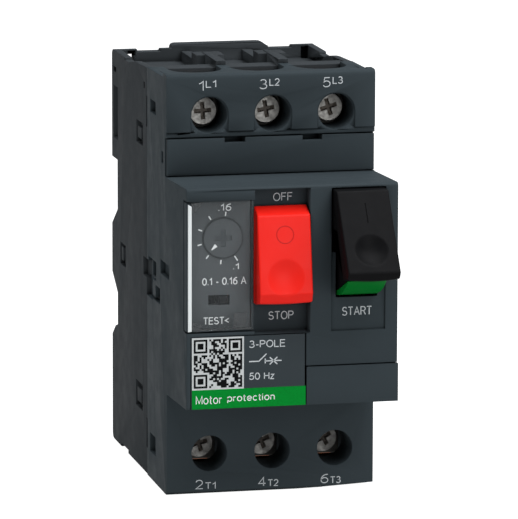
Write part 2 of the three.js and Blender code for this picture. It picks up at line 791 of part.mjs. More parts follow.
function movingBridge(pole) {
  const reach = 1.1;
  return join(
    box(around(pole, 2.6), [BRIDGE_Y, BRIDGE_Y + 1.4], [CONTACT_Z[0] - 2, CONTACT_Z[1] + 2]),
    ...CONTACT_Z.map((z) =>
      rod("y", CONTACT_R, [BRIDGE_Y + reach, BRIDGE_Y + reach + 1.1], [pole, z], 16),
    ),
  );
}

function arcChute(pole) {
  const fins = Array.from({ length: 8 }, (_, i) => {
    const z = 1.8 + i * 3.3;
    const fin = box(around(pole, 4.6), [-11.4, -3], [z, z + 1]);
    return cut(fin, box(around(pole, 1.3), [-12, -7.5], [z - PAST, z + 2]));
  });
  return join(box(around(pole, 4.6), [-3.2, -2.2], [1.4, 26.4]), ...fins);
}

function tripCoil(pole) {
  const core = 2.1;
  const turns = Array.from({ length: 5 }, (_, i) => -22.8 + i * 2.6);
  const profile = [
    [core, -25.2],
    [5.3, -25.2],
    [5.3, -24.3],
    ...turns.flatMap((y) => [
      [4.3, y],
      [4.9, y + 1.3],
    ]),
    [4.3, -9.8],
    [5.3, -8.6],
    [5.3, -7.6],
    [core, -7.6],
    [core, -25.2],
  ];
  return turned(profile, [pole, COIL_Z], 16);
}

const COIL_PLUNGER_R = 1.7;

function bimetal(pole) {
  const ribs = Array.from({ length: 5 }, (_, i) =>
    box(around(pole, 2), [-24.9, -19.1], [-34.4 + i * 3, -32.9 + i * 3]),
  );
  return join(
    box(around(pole, 0.45), [-24, -20], [-39.4, -13.2]),
    box(around(pole, 1.5), [-24.6, -19.4], [-35, -20]),
    box(around(pole, 3), [-25, -19], [-39.4, -37.4]),
    ...ribs,
  );
}

POLES.forEach((pole, i) => {
  const n = i + 1;
  add(`line_screw_${n}`, terminalScrew(pole, TERMINAL_Z, 0), STEEL);
  add(`line_clamp_${n}`, clampPlate(pole, TERMINAL_Z, 0), STEEL);
  add(`line_contact_${n}`, lineContact(pole), COPPER);
  add(`moving_bridge_${n}`, movingBridge(pole), COPPER);
  const seat = new THREE.Vector3(pole, -26.3, (CONTACT_Z[0] + CONTACT_Z[1]) / 2);
  add(`contact_spring_${n}`, spring(seat, Y, 5.8, 1.5, 0.3, 4), STEEL);
  add(`fixed_contact_${n}`, fixedContact(pole), COPPER);
  add(`arc_chute_${n}`, arcChute(pole), STEEL);
  add(`trip_coil_${n}`, tripCoil(pole), COPPER);
  add(`coil_plunger_${n}`, rod("y", COIL_PLUNGER_R, [-29, -12], [pole, COIL_Z], 16), STEEL);
  add(`bimetal_${n}`, bimetal(pole), BRASS);
  add(`load_contact_${n}`, loadContact(pole), COPPER);
  add(`load_screw_${n}`, terminalScrew(pole, -TERMINAL_Z, LOAD_SCREW_DEPTH), STEEL);
  add(`load_clamp_${n}`, clampPlate(pole, -TERMINAL_Z, LOAD_SCREW_DEPTH), STEEL);
});

// ---------------------------------------------------------------- rail clip

function railClip() {
  const hook = [
    [1.3, -19.4],
    [1.3, -17.6],
    [2.6, -16.4],
    [4.6, -16.4],
    [4.6, -TOP],
    [-9.8, -TOP],
    [-9.8, -43.3],
    [2.2, -43.3],
    [2.2, -19.4],
  ];
  return cut(
    prism("x", hook, [-5, 5]),
    box([-2.2, 2.2], [2, 5], [-41.4, -26]),
    box([-2.5, 2.5], [-8.6, -6.6], [-46, -42]),
  );
}

add("rail_clip", railClip(), BLACK);
const springSeat = new THREE.Vector3(0, 3.4, -35.3);
add("rail_clip_spring", spring(springSeat, Z, 8.6, 0.85, 0.25, 5), STEEL);

export default breaker;
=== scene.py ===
"""Looks of the motor protection breaker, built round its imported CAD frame.

The frame is in metres, with +Z up and the front facing -Y. Lengths here are in millimetres unless a
comment says otherwise, and finished() scales each mesh to metres.
"""

import json
import math
import random

import bmesh
import bpy
from mathutils import Matrix, Vector


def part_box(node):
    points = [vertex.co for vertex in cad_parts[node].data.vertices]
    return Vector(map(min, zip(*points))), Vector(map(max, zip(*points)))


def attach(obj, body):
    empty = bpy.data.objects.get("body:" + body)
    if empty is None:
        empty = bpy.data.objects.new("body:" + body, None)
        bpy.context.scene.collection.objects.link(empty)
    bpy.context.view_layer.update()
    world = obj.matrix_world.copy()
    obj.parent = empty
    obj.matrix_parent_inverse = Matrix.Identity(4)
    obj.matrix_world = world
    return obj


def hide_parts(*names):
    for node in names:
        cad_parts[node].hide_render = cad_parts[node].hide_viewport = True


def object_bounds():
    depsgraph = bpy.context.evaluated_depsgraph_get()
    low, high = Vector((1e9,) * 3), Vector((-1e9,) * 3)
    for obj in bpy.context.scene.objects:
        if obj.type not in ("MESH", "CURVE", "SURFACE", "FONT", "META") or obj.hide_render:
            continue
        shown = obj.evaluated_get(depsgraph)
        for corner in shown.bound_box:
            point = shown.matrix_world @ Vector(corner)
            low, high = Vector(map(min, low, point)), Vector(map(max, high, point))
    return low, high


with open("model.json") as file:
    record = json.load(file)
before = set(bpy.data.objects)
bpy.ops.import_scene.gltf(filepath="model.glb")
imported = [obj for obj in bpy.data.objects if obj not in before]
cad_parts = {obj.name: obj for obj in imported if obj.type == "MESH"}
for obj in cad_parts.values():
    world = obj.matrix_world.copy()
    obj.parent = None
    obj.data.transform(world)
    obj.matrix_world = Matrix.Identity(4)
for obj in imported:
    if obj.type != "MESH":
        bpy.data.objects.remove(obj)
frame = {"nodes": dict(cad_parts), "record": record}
cad_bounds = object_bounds()
NODES = frame["nodes"]
MM = 0.001


# ------------------------------------------------------------------ places taken from the frame


def low(node):
    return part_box(node)[0] / MM


def high(node):
    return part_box(node)[1] / MM


def middle(node):
    return (low(node) + high(node)) / 2


def joint(name):
    return next(entry for entry in frame["record"]["behaviour"]["joints"] if entry["name"] == name)


PANEL_Y = low("front_cover").y
WORD_FLOOR_Y = PANEL_Y + 3.4  # the faces above and below the stop button lie deeper than the panel
START_WORD_Y = PANEL_Y + 0.5
BLOCK_Y = low("contact_block_blank").y - 0.1  # face of the terminal blocks
LABEL_LOW, LABEL_HIGH = low("rating_label"), high("rating_label")
PLATE_LOW, PLATE_HIGH = low("scale_plate"), high("scale_plate")
WINDOW_LOW, WINDOW_HIGH = low("window_cover"), high("window_cover")
DIAL = middle("setting_dial")
DIAL_Y = low("setting_dial").y
DIAL_R = (high("setting_dial").x - low("setting_dial").x) / 2
STOP_LOW, STOP_HIGH = low("stop_button"), high("stop_button")
START_LOW, START_HIGH = low("start_cap"), high("start_cap")
POLE_NUMBERS = (1, 2, 3)
POLES = [middle(f"line_screw_{n}").x for n in POLE_NUMBERS]  # centre line of each pole
PRINT = 0.03  # how far printed ink stands proud of its face
TICK_PRINT = 0.06
LINE_WIDTH = 0.24  # width of printed ticks and symbol lines
SMOOTH_BELOW = 35.0  # degrees between faces up to which an edge is shaded smooth
CAP_SMOOTH_BELOW = 50.0
CAP_RIM = 0.32  # rounding of the side rims of a button cap
RIM_STEPS = 5
CAP_STEP = 0.3  # spacing of mesh points on a button cap


# ------------------------------------------------------------------ materials


def srgb(red, green, blue):
    """An 8-bit colour as the linear RGBA that shader sockets take."""

    def linear(value):
        share = value / 255
        return share / 12.92 if share <= 0.04045 else ((share + 0.055) / 1.055) ** 2.4

    return (linear(red), linear(green), linear(blue), 1.0)


MIX_A, MIX_B, MIX_RESULT = 6, 7, 2  # the colour sockets of a Mix node


class Shader:
    """A node material with a Principled BSDF, and short calls that add nodes to it."""

    def __init__(self, name):
        self.material = bpy.data.materials.new(name)
        self.material.use_nodes = True
        self.tree = self.material.node_tree
        self.bsdf = self.tree.nodes["Principled BSDF"]
        self.place = self.node("ShaderNodeTexCoord").outputs["Object"]

    def node(self, kind, **values):
        made = self.tree.nodes.new(kind)
        for key, value in values.items():
            if key in made.inputs:
                made.inputs[key].default_value = value
            else:
                setattr(made, key, value)
        return made

    def link(self, source, target):
        self.tree.links.new(source, target)

    def noise(self, size, detail=3.0, stretch=(1, 1, 1)):
        """Noise whose features are about size millimetres across."""
        mapping = self.node("ShaderNodeMapping", Scale=stretch)
        self.link(self.place, mapping.inputs["Vector"])
        made = self.node("ShaderNodeTexNoise", Scale=1 / (size * MM), Detail=detail)
        self.link(mapping.outputs["Vector"], made.inputs["Vector"])
        return made.outputs["Fac"]

    def ramp(self, source, start, end, low_value, high_value):
        made = self.node("ShaderNodeMapRange")
        limits = {"From Min": start, "From Max": end, "To Min": low_value, "To Max": high_value}
        for key, value in limits.items():
            made.inputs[key].default_value = value
        self.link(source, made.inputs["Value"])
        return made.outputs["Result"]

    def tint(self, factor, colour, other, reach=0.0):
        """Base colour that drifts between two colours, darkened by painted shade in gaps narrower than reach
        millimetres.
        """
        made = self.node("ShaderNodeMix", data_type="RGBA")
        self.link(factor, made.inputs["Factor"])
        made.inputs[MIX_A].default_value = colour
        made.inputs[MIX_B].default_value = other
        shown = made.outputs[MIX_RESULT]
        # Painted shade: an occlusion node darkens the base colour in gaps and inner corners.
        if reach:
            occlusion_shade = self.node("ShaderNodeAmbientOcclusion", Distance=reach * MM, samples=8)
            shade = self.node("ShaderNodeMix", data_type="RGBA", blend_type="MULTIPLY")
            shade.inputs["Factor"].default_value = 1.0
            self.link(shown, shade.inputs[MIX_A])
            self.link(self.ramp(occlusion_shade.outputs["AO"], 0.2, 0.9, 0.1, 1.0), shade.inputs[MIX_B])
            shown = shade.outputs[MIX_RESULT]
        self.link(shown, self.bsdf.inputs["Base Color"])

    def bump(self, source, depth):
        made = self.node("ShaderNodeBump", Strength=1.0, Distance=depth * MM)
        self.link(source, made.inputs["Height"])
        self.link(made.outputs["Normal"], self.bsdf.inputs["Normal"])


def darkened(colour, share):
    return tuple(c * share for c in colour[:3]) + (1.0,)


def moulded(name, colour, roughness, grain=0.012, shade=0.94, sheen=0.12, reach=0.0):
    """Spark-eroded moulded plastic: fine grain, slow colour drift, slightly uneven gloss, and painted shade
    in gaps narrower than reach millimetres.
    """
    made = Shader(name)
    base = srgb(*colour)
    made.tint(made.ramp(made.noise(14, 4), 0.35, 0.65, 0, 1), base, darkened(base, shade), reach)
    made.bsdf.inputs["Specular IOR Level"].default_value = sheen
    made.link(
        made.ramp(made.noise(3, 3), 0.3, 0.7, roughness - 0.05, roughness + 0.06),
        made.bsdf.inputs["Roughness"],
    )
    made.bump(made.noise(0.22, 2), grain)
    return made.material


def metal(name, colour, roughness, stretch=(1, 1, 12), shade=0.72):
    """Plated or bare metal with drawn streaks and a patchy film."""
    made = Shader(name)
    made.bsdf.inputs["Metallic"].default_value = 1.0
    base = srgb(*colour)
    made.tint(made.ramp(made.noise(1.1, 5), 0.38, 0.68, 0, 1), base, darkened(base, shade))
    made.link(
        made.ramp(made.noise(0.5, 4, stretch), 0.3, 0.7, roughness - 0.08, roughness + 0.12),
        made.bsdf.inputs["Roughness"],
    )
    made.bump(made.noise(0.3, 3, stretch), 0.01)
    return made.material


def ink(name, colour):
    """Pad-printed ink: flat, with faint thin spots."""
    made = Shader(name)
    base = srgb(*colour)
    made.tint(made.ramp(made.noise(0.35, 3), 0.45, 0.75, 0, 1), base, darkened(base, 0.82))
    made.bsdf.inputs["Roughness"].default_value = 0.6
    made.bsdf.inputs["Specular IOR Level"].default_value = 0.03
    made.bump(made.noise(0.12, 2), 0.004)
    return made.material


def clear_plastic(name, colour, cover):
    """Clear cover with a body tint and a glossy skin; cover is the share of it that hides what is behind."""
    made = Shader(name)
    other = srgb(*(c * 0.96 for c in colour))
    made.tint(made.ramp(made.noise(9, 3), 0.3, 0.7, 0, 1), srgb(*colour), other)
    made.bsdf.inputs["Roughness"].default_value = 0.12
    made.bsdf.inputs["Alpha"].default_value = cover
    made.bump(made.noise(6, 2), 0.02)
    return made.material


# HOUSING, COVER, BLACK and RED take a reach, so painted shade darkens them in gaps and inner corners.
HOUSING = moulded("housing_plastic", (43, 46, 48), 0.65, sheen=0.01, reach=1.6)
COVER = moulded("cover_plastic", (40, 46, 49), 0.6, sheen=0.015, reach=1.1)
PANEL_PRINT = moulded("label_film", (37, 43, 46), 0.5, grain=0.006, sheen=0.06)
BLACK = moulded("black_plastic", (10, 10, 11), 0.42, grain=0.008, sheen=0.025, reach=2)
RED = moulded("red_plastic", (180, 22, 14), 0.38, grain=0.006, shade=0.97, sheen=0.08, reach=1.2)
# A darker copy of the red plastic for the off sign ring: painted shade.
RED_SIGN_SHADE = moulded("red_plastic_sign_shade", (146, 14, 10), 0.38, grain=0.006, sheen=0.08)
GREEN = moulded("green_plastic", (0, 84, 26), 0.4, grain=0.006, sheen=0.03)
CREAM = moulded("cream_plastic", (184, 178, 162), 0.55)
PLATE = moulded("scale_plastic", (56, 60, 62), 0.5, grain=0.006, sheen=0.06)
# A darker copy of the plate plastic for the dial's cross recess: painted shade.
PLATE_SHADE = moulded("scale_plastic_shade", (47, 51, 53), 0.5, grain=0.006, sheen=0.06)
STEEL = metal("zinc_plated_steel", (188, 186, 178), 0.34)
SCREW = metal("screw_steel", (128, 127, 124), 0.5, (1, 1, 1), 0.55)
# A dull darker colour for the walls of the screws' cross recesses: painted shade.
RECESS_SHADE = moulded("screw_recess_shade", (84, 78, 72), 0.6, grain=0.02, sheen=0.2)
# Steel darkened for the terminal clamps: painted shade that keeps their edges, lit from below through the
# wire openings, dark.
SHADED_CLAMP_STEEL = metal("clamp_steel_shaded", (92, 91, 88), 0.62)
COPPER = metal("bare_copper", (196, 122, 82), 0.32)
BRASS = metal("bimetal_brass", (202, 172, 96), 0.34)
CLEAR = clear_plastic("clear_cover", (150, 156, 158), 0.03)
# A dark clear tint for the sheets behind the pane: painted shade over the hinge gussets and catch.
CLEAR_SHADE = clear_plastic("clear_cover_shade", (30, 33, 35), 0.34)
# Light grey for the upright edge of the clear pane: a painted highlight.
CLEAR_EDGE_HIGHLIGHT = moulded("clear_cover_edge_highlight", (172, 176, 176), 0.3, grain=0.004, shade=0.97)
MARK = ink("light_grey_ink", (152, 156, 158))
WHITE = ink("white_ink", (184, 187, 187))
GROUND = ink("code_ground_ink", (152, 155, 155))
DARK_INK = ink("black_ink", (8, 9, 10))
BAND = ink("green_ink", (0, 100, 31))
# A dark colour for the ring in the gap round the dial: painted shadow.
SHADOW_GROOVE = moulded("groove_shadow", (30, 33, 35), 0.7)


# ------------------------------------------------------------------ mesh helpers


def put(name, mesh, material, body, smooth_below=SMOOTH_BELOW):
    """Adds a finished mesh as a piece that rides on a body."""
    mesh.materials.clear()
    mesh.materials.append(material)
    mesh.shade_smooth()
    mesh.set_sharp_from_angle(angle=math.radians(smooth_below))
    piece = bpy.data.objects.new(name, mesh)
    bpy.context.scene.collection.objects.link(piece)
    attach(piece, body)
    return piece


def finished(name, bm):
    """A bmesh in millimetres as a mesh in metres, with its faces turned outwards."""
    bmesh.ops.recalc_face_normals(bm, faces=bm.faces)
    bmesh.ops.scale(bm, vec=(MM, MM, MM), verts=bm.verts)
    mesh = bpy.data.meshes.new(name)
    bm.to_mesh(mesh)
    bm.free()
    return mesh


def bevel(piece, width, segments):
    """Rounds the edges of a piece that turn by more than 32 degrees."""
    made = piece.modifiers.new("bevel", "BEVEL")
    made.width = width * MM
    made.segments = segments
    made.limit_method = "ANGLE"
    made.angle_limit = math.radians(32)
    made.use_clamp_overlap = True
    made.harden_normals = True
    return made


def add_sides(bm, near, far):
    """Closes the space between two rings of as many corners with two end faces and a strip of quads."""
    bm.faces.new(near)
    bm.faces.new(far[::-1])
    for i in range(len(near)):
        k = (i + 1) % len(near)
        bm.faces.new((near[i], far[i], far[k], near[k]))


def add_prism(bm, outline, start, end, axis="y"):
    """A prism of an (x, z) outline along y, a (y, z) outline along x, or an (x, y) one along z."""
    order = {"y": (0, None, 1), "x": (None, 0, 1), "z": (0, 1, None)}[axis]

    def corner(point, along):
        return bm.verts.new([along if k is None else point[k] for k in order])

    near = [corner(p, start) for p in outline]
    far = [corner(p, end) for p in outline]
    add_sides(bm, near, far)


def rectangle(x, z):
    return [(x[0], z[0]), (x[1], z[0]), (x[1], z[1]), (x[0], z[1])]


def stroke(start, end, width):
    """The outline of a straight pen stroke between two points of a plane."""
    a, b = Vector(start), Vector(end)
    across = (b - a).normalized().orthogonal() * width / 2
    return [tuple(a + across), tuple(a - across), tuple(b - across), tuple(b + across)]


def flat_marks(name, outlines, y, material, body="housing", thickness=PRINT):
    """Printed shapes that lie on a face looking to the front."""
    bm = bmesh.new()
    for outline in outlines:
        add_prism(bm, outline, y - thickness, y + thickness)
    return put(name, finished(name, bm), material, body)


def add_ribbon(bm, points, width, y):
    """A pen line of constant width through points of the front plane; a closed line ends where it starts."""
    closed = (points[0] - points[-1]).length < 1e-6
    places = points[:-1] if closed else points
    count = len(places)
    corners = []
    for i, place in enumerate(places):
        before = (place - places[i - 1]).normalized() if closed or i > 0 else None
        after = (places[(i + 1) % count] - place).normalized() if closed or i < count - 1 else None
        along = ((before or after) + (after or before)).normalized()
        half = width / 2 / max(0.5, along.dot(before or after))
        across = Vector((-along.y, along.x)) * half
        sides = (place + across, place - across)
        corners.append([bm.verts.new((p.x, y + d, p.y)) for d in (-PRINT, PRINT) for p in sides])
    for i in range(count if closed else count - 1):
        a, b = corners[i], corners[(i + 1) % count]
        for m, n in ((0, 1), (1, 3), (3, 2), (2, 0)):
            bm.faces.new((a[m], a[n], b[n], b[m]))
    if not closed:
        for a in (corners[0], corners[-1]):
            bm.faces.new((a[0], a[1], a[3], a[2]))


def bow(centre, radii, start, end, count=13):
    """Points of an elliptic arc; angles in degrees."""
    steps = [math.radians(start + (end - start) * i / (count - 1)) for i in range(count)]
    return [(centre[0] + radii[0] * math.cos(t), centre[1] + radii[1] * math.sin(t)) for t in steps]


def circle(centre, radius, count):
    return bow(centre, (radius, radius), 0, 360 - 360 / count, count)


# Letters as pen lines: width, then lists of points. Capitals are 1 high.
GLYPHS = {
    " ": (0.22, []),
    "-": (0.3, [[(0, 0.37), (0.3, 0.37)]]),
    ".": (0.08, [[(0.04, 0), (0.04, 0.1)]]),
    "<": (0.48, [[(0.48, 0.8), (0, 0.48), (0.48, 0.16)]]),
    "0": (0.54, [bow((0.27, 0.5), (0.27, 0.5), 90, 450, 25)]),
    "1": (0.34, [[(0, 0.74), (0.16, 0.84), (0.28, 1), (0.28, 0)]]),
    "2": (0.54, [bow((0.27, 0.7), (0.25, 0.3), 165, -30) + [(0.02, 0), (0.54, 0)]]),
    "3": (0.54, [bow((0.25, 0.75), (0.23, 0.25), 150, -90, 9) + bow((0.25, 0.26), (0.28, 0.26), 80, -155)]),
    "4": (0.58, [[(0.42, 0), (0.42, 1), (0, 0.28), (0.58, 0.28)]]),
    "5": (0.54, [[(0.5, 1), (0.12, 1), (0.05, 0.5)] + bow((0.26, 0.32), (0.28, 0.32), 130, -155)]),
    "6": (
        0.54,
        [
            bow((0.28, 0.31), (0.26, 0.31), 90, 450, 21),
            bow((0.5, 0.4), (0.48, 0.6), 85, 185, 9),
        ],
    ),
    "A": (0.68, [[(0, 0), (0.34, 1), (0.68, 0)], [(0.12, 0.35), (0.56, 0.35)]]),
    "E": (0.54, [[(0.54, 1), (0, 1), (0, 0), (0.54, 0)], [(0, 0.53), (0.5, 0.53)]]),
    "F": (0.5, [[(0.5, 1), (0, 1), (0, 0)], [(0, 0.53), (0.43, 0.53)]]),
    "H": (0.58, [[(0, 0), (0, 1)], [(0.58, 0), (0.58, 1)], [(0, 0.53), (0.58, 0.53)]]),
    "L": (0.48, [[(0, 1), (0, 0), (0.48, 0)]]),
    "M": (0.7, [[(0, 0), (0, 1), (0.35, 0.1), (0.7, 1), (0.7, 0)]]),
    "O": (0.72, [bow((0.36, 0.5), (0.36, 0.5), 90, 450, 29)]),
    "P": (
        0.56,
        [[(0, 0), (0, 1), (0.3, 1)] + bow((0.3, 0.74), (0.26, 0.26), 80, -80, 9) + [(0.3, 0.48), (0, 0.48)]],
    ),
    "R": (
        0.6,
        [
            [(0, 0), (0, 1), (0.32, 1)]
            + bow((0.32, 0.75), (0.25, 0.25), 80, -80, 9)
            + [(0.32, 0.5), (0, 0.5)],
            [(0.34, 0.5), (0.6, 0)],
        ],
    ),
    "S": (
        0.56,
        [bow((0.28, 0.75), (0.25, 0.25), 25, 250, 12) + bow((0.28, 0.26), (0.28, 0.26), 75, -160, 12)],
    ),
    "T": (0.6, [[(0, 1), (0.6, 1)], [(0.3, 1), (0.3, 0)]]),
    "c": (0.44, [bow((0.24, 0.36), (0.24, 0.36), 45, 315)]),
    "e": (0.48, [[(0, 0.37), (0.47, 0.37)] + bow((0.24, 0.36), (0.24, 0.36), 10, 320)]),
    "i": (0.05, [[(0, 0), (0, 0.7)], [(0, 0.88), (0, 1)]]),
    "n": (
        0.42,
        [[(0, 0), (0, 0.72)], [(0, 0.44)] + bow((0.21, 0.46), (0.21, 0.26), 150, 0, 8) + [(0.42, 0)]],
    ),
    "o": (0.5, [bow((0.25, 0.36), (0.25, 0.36), 90, 450, 21)]),
    "p": (0.48, [[(0, 0.72), (0, -0.27)], bow((0.24, 0.36), (0.24, 0.36), 90, 450, 21)]),
    "r": (0.26, [[(0, 0), (0, 0.72)], [(0, 0.4), (0.07, 0.62), (0.26, 0.7)]]),
    "t": (0.26, [[(0.1, 0.95), (0.1, 0.1), (0.16, 0), (0.26, 0)], [(0, 0.7), (0.26, 0.7)]]),
    "z": (0.44, [[(0.02, 0.7), (0.42, 0.7), (0, 0), (0.44, 0)]]),
}
LETTER_GAP = 0.2
PEN = 0.19
SCALE_PEN = 0.2
BAND_PEN = 0.17


def lettering(name, text, x, z, y, material=MARK, pen=PEN):
    """Text drawn with a pen and fitted to a rectangle of the front, just proud of the face at y."""
    lines = []
    cursor = 0.0
    for letter in text:
        width, strokes = GLYPHS[letter]
        lines += [[Vector((cursor + a, b)) for a, b in line] for line in strokes]
        cursor += width + LETTER_GAP
    points = [point for line in lines for point in line]
    left, right = (f(p.x for p in points) for f in (min, max))
    bottom, top = (f(p.y for p in points) for f in (min, max))
    wide = (x[1] - x[0] - pen) / (right - left) if right > left else 0.0
    tall = (z[1] - z[0] - pen) / (top - bottom)

    def placed(p):
        return Vector((x[0] + pen / 2 + (p.x - left) * wide, z[0] + pen / 2 + (p.y - bottom) * tall))

    bm = bmesh.new()
    for line in lines:
        add_ribbon(bm, [placed(p) for p in line], pen, y)
    return put(name, finished(name, bm), material, "housing")


def add_ring(bm, centre, inner, outer, y, count=72):
    """A flat ring with square edges, looking to the front; y is its (front, back)."""
    rings = []
    for radius in (inner, outer):
        for depth in y:
            rings.append([bm.verts.new((x, depth, z)) for x, z in circle(centre, radius, count)])
    for a, b in ((0, 1), (1, 3), (3, 2), (2, 0)):
        for i in range(count):
            k = (i + 1) % count
            bm.faces.new((rings[a][i], rings[a][k], rings[b][k], rings[b][i]))


def add_turned(bm, profile, centre, count):
    """A profile of (radius, y) points turned about a line along y; it starts and ends at radius 0."""
    x, z = centre
    tips = [bm.verts.new((x, profile[0][1], z)), bm.verts.new((x, profile[-1][1], z))]
    rings = []
    for radius, y in profile[1:-1]:
        rings.append([bm.verts.new((a, y, b)) for a, b in circle(centre, radius, count)])
    for i in range(count):
        k = (i + 1) % count
        bm.faces.new((tips[0], rings[0][i], rings[0][k]))
        bm.faces.new((tips[1], rings[-1][k], rings[-1][i]))
        for first, second in zip(rings, rings[1:]):
            bm.faces.new((first[i], second[i], second[k], first[k]))


def carve(piece, cutter_mesh, material=None):
    """Cuts a mesh out of a piece for good; the faces it leaves may have their own material."""
    cutter_mesh.materials.append(material or piece.data.materials[0])
    cutter = bpy.data.objects.new("cutter", cutter_mesh)
    bpy.context.scene.collection.objects.link(cutter)
    modifier = piece.modifiers.new("carve", "BOOLEAN")
    modifier.operation = "DIFFERENCE"
    modifier.solver = "EXACT"
    modifier.material_mode = "TRANSFER"
    modifier.object = cutter
    bpy.context.view_layer.update()
    graph = bpy.context.evaluated_depsgraph_get()
    mesh = bpy.data.meshes.new_from_object(piece.evaluated_get(graph))
    piece.modifiers.clear()
    piece.data = mesh
    bpy.data.objects.remove(cutter)
    mesh.set_sharp_from_angle(angle=math.radians(SMOOTH_BELOW))


# ------------------------------------------------------------------ lofted caps


def rounded(outline):
    """Corners (a, b, radius) as a dense closed outline with a true arc in each corner."""
    count = len(outline)
    dense = []
    for i, (a, b, radius) in enumerate(outline):
        corner = Vector((a, b))
        before = Vector(outline[i - 1][:2]) - corner
        after = Vector(outline[(i + 1) % count][:2]) - corner
        half = before.angle(after) / 2
        reach = radius / math.tan(half)
        first = corner + before.normalized() * reach
        last = corner + after.normalized() * reach
        bisector = (before.normalized() + after.normalized()).normalized()
        centre = corner + bisector * radius / math.sin(half)
        steps = max(3, math.ceil(radius * (math.pi - 2 * half) / CAP_STEP))
        start = first - centre
        turn = start.angle_signed(last - centre)
        for k in range(steps + 1):
            spin = Matrix.Rotation(-turn * k / steps, 2)
            dense.append(centre + spin @ start)
    filled = []
    for i, point in enumerate(dense):
        following = dense[(i + 1) % len(dense)]
        gap = (following - point).length
        pieces = max(1, round(gap / CAP_STEP))
        filled += [point.lerp(following, k / pieces) for k in range(pieces)]
    return filled


def outward(outline):
    """The outward normal at each point of a closed outline."""
    area = sum(p.cross(q) for p, q in zip(outline, outline[1:] + outline[:1]))
    sign = 1 if area > 0 else -1
    normals = []
    for i, _ in enumerate(outline):
        along = outline[(i + 1) % len(outline)] - outline[i - 1]
        normals.append(Vector((along.y, -along.x)).normalized() * sign)
    return normals


def loft(bm, outline, x, relief, warp):
    """A button cap swept along x whose two end rims are rounded by CAP_RIM.

    relief gives how far a point moves along its normal, and warp may move it freely. A corner of the
    outline with a radius below CAP_RIM makes the end rings cross themselves.
    """
    dense = rounded(outline)
    normals = outward(dense)
    quarter = [math.radians(90 * k / RIM_STEPS) for k in range(RIM_STEPS + 1)]
    start = [(x[0] + CAP_RIM * (1 - math.cos(t)), CAP_RIM * (1 - math.sin(t))) for t in quarter]
    end = [(x[1] - (a - x[0]), inset) for a, inset in reversed(start)]
    span = end[0][0] - start[-1][0]
    between = max(2, round(span / CAP_STEP))
    flat = [(start[-1][0] + span * k / between, 0.0) for k in range(1, between)]
    rings = []
    for across, inset in start + flat + end:
        ring = []
        for point, normal in zip(dense, normals):
            moved = point + normal * (relief(across, point.x, point.y) - inset)
            ring.append(bm.verts.new(warp(Vector((across, moved.x, moved.y)))))
        rings.append(ring)
    count = len(dense)
    for first, second in zip(rings, rings[1:]):
        for i in range(count):
            k = (i + 1) % count
            bm.faces.new((first[i], first[k], second[k], second[i]))
    bm.faces.new(rings[0][::-1])
    bm.faces.new(rings[-1])


def hollow(centre, radius, depth):
    """Relief of a round thumb hollow: centre is (x, y, z) on the face."""
    middle_point = Vector(centre)

    def relief(x, y, z):
        distance = (Vector((x, y, z)) - middle_point).length / radius
        if distance >= 1:
            return 0.0
        return -depth * (1 - distance**2) ** 1.15

    return relief


# ------------------------------------------------------------------ carried-over CAD nodes


def dress(node, material, width):
    """Gives a CAD node its material, and small rounded edges where width isn't zero."""
    piece = NODES[node]
    mesh = piece.data
    mesh.materials.clear()
    mesh.materials.append(material)
    weld = piece.modifiers.new("weld", "WELD")
    weld.merge_threshold = 0.002 * MM
    if width:
        bevel(piece, width, 2).use_clamp_overlap = False
    mesh.shade_smooth()


DRESSED = {
    "base_housing": (HOUSING, 0.14),
    "front_cover": (COVER, 0.12),
    "contact_block_blank": (COVER, 0.1),
    "marker_plate": (COVER, 0.12),
    "rail_clip": (BLACK, 0.15),
    "scale_plate": (PLATE, 0.08),
    "test_slider": (BLACK, 0.1),
    "start_shaft": (STEEL, 0.0),
    "stop_shaft": (STEEL, 0.0),
    "mechanism_frame": (STEEL, 0.08),
    "drive_rod": (CREAM, 0.1),
    "contact_carrier": (CREAM, 0.1),
    "trip_slide": (CREAM, 0.1),
    "trip_lever": (STEEL, 0.08),
    "rail_clip_spring": (STEEL, 0.0),
}
POLE_FINISH = {
    # The clamps take steel darkened as painted shade.
    "line_clamp": (SHADED_CLAMP_STEEL, 0.1),
    "load_clamp": (SHADED_CLAMP_STEEL, 0.1),
    "line_contact": (COPPER, 0.1),
    "load_contact": (COPPER, 0.1),
    "fixed_contact": (COPPER, 0.08),
    "moving_bridge": (COPPER, 0.08),
    "contact_spring": (STEEL, 0.0),
    "arc_chute": (STEEL, 0.0),
    "trip_coil": (COPPER, 0.0),
    "coil_plunger": (STEEL, 0.08),
    "bimetal": (BRASS, 0.0),
}


def dress_nodes():
    for node, (material, width) in DRESSED.items():
        dress(node, material, width)
    for stem, (material, width) in POLE_FINISH.items():
        for n in POLE_NUMBERS:
            dress(f"{stem}_{n}", material, width)


# ------------------------------------------------------------------ stop button


def bowed_rim(centre_x, half, rim_z, reach, sag, back_y):
    """A warp that bows the lower rim of a cap downwards in its middle, in front of back_y."""

    def warp(place):
        share = 1 - ((place.x - centre_x) / half) ** 2
        near = max(0.0, 1 - (place.z - rim_z) / reach)
        fade = min(1.0, max(0.0, (back_y - place.y) / 2.5))
        place.z -= sag * share * near * near * fade
        return place

    return warp


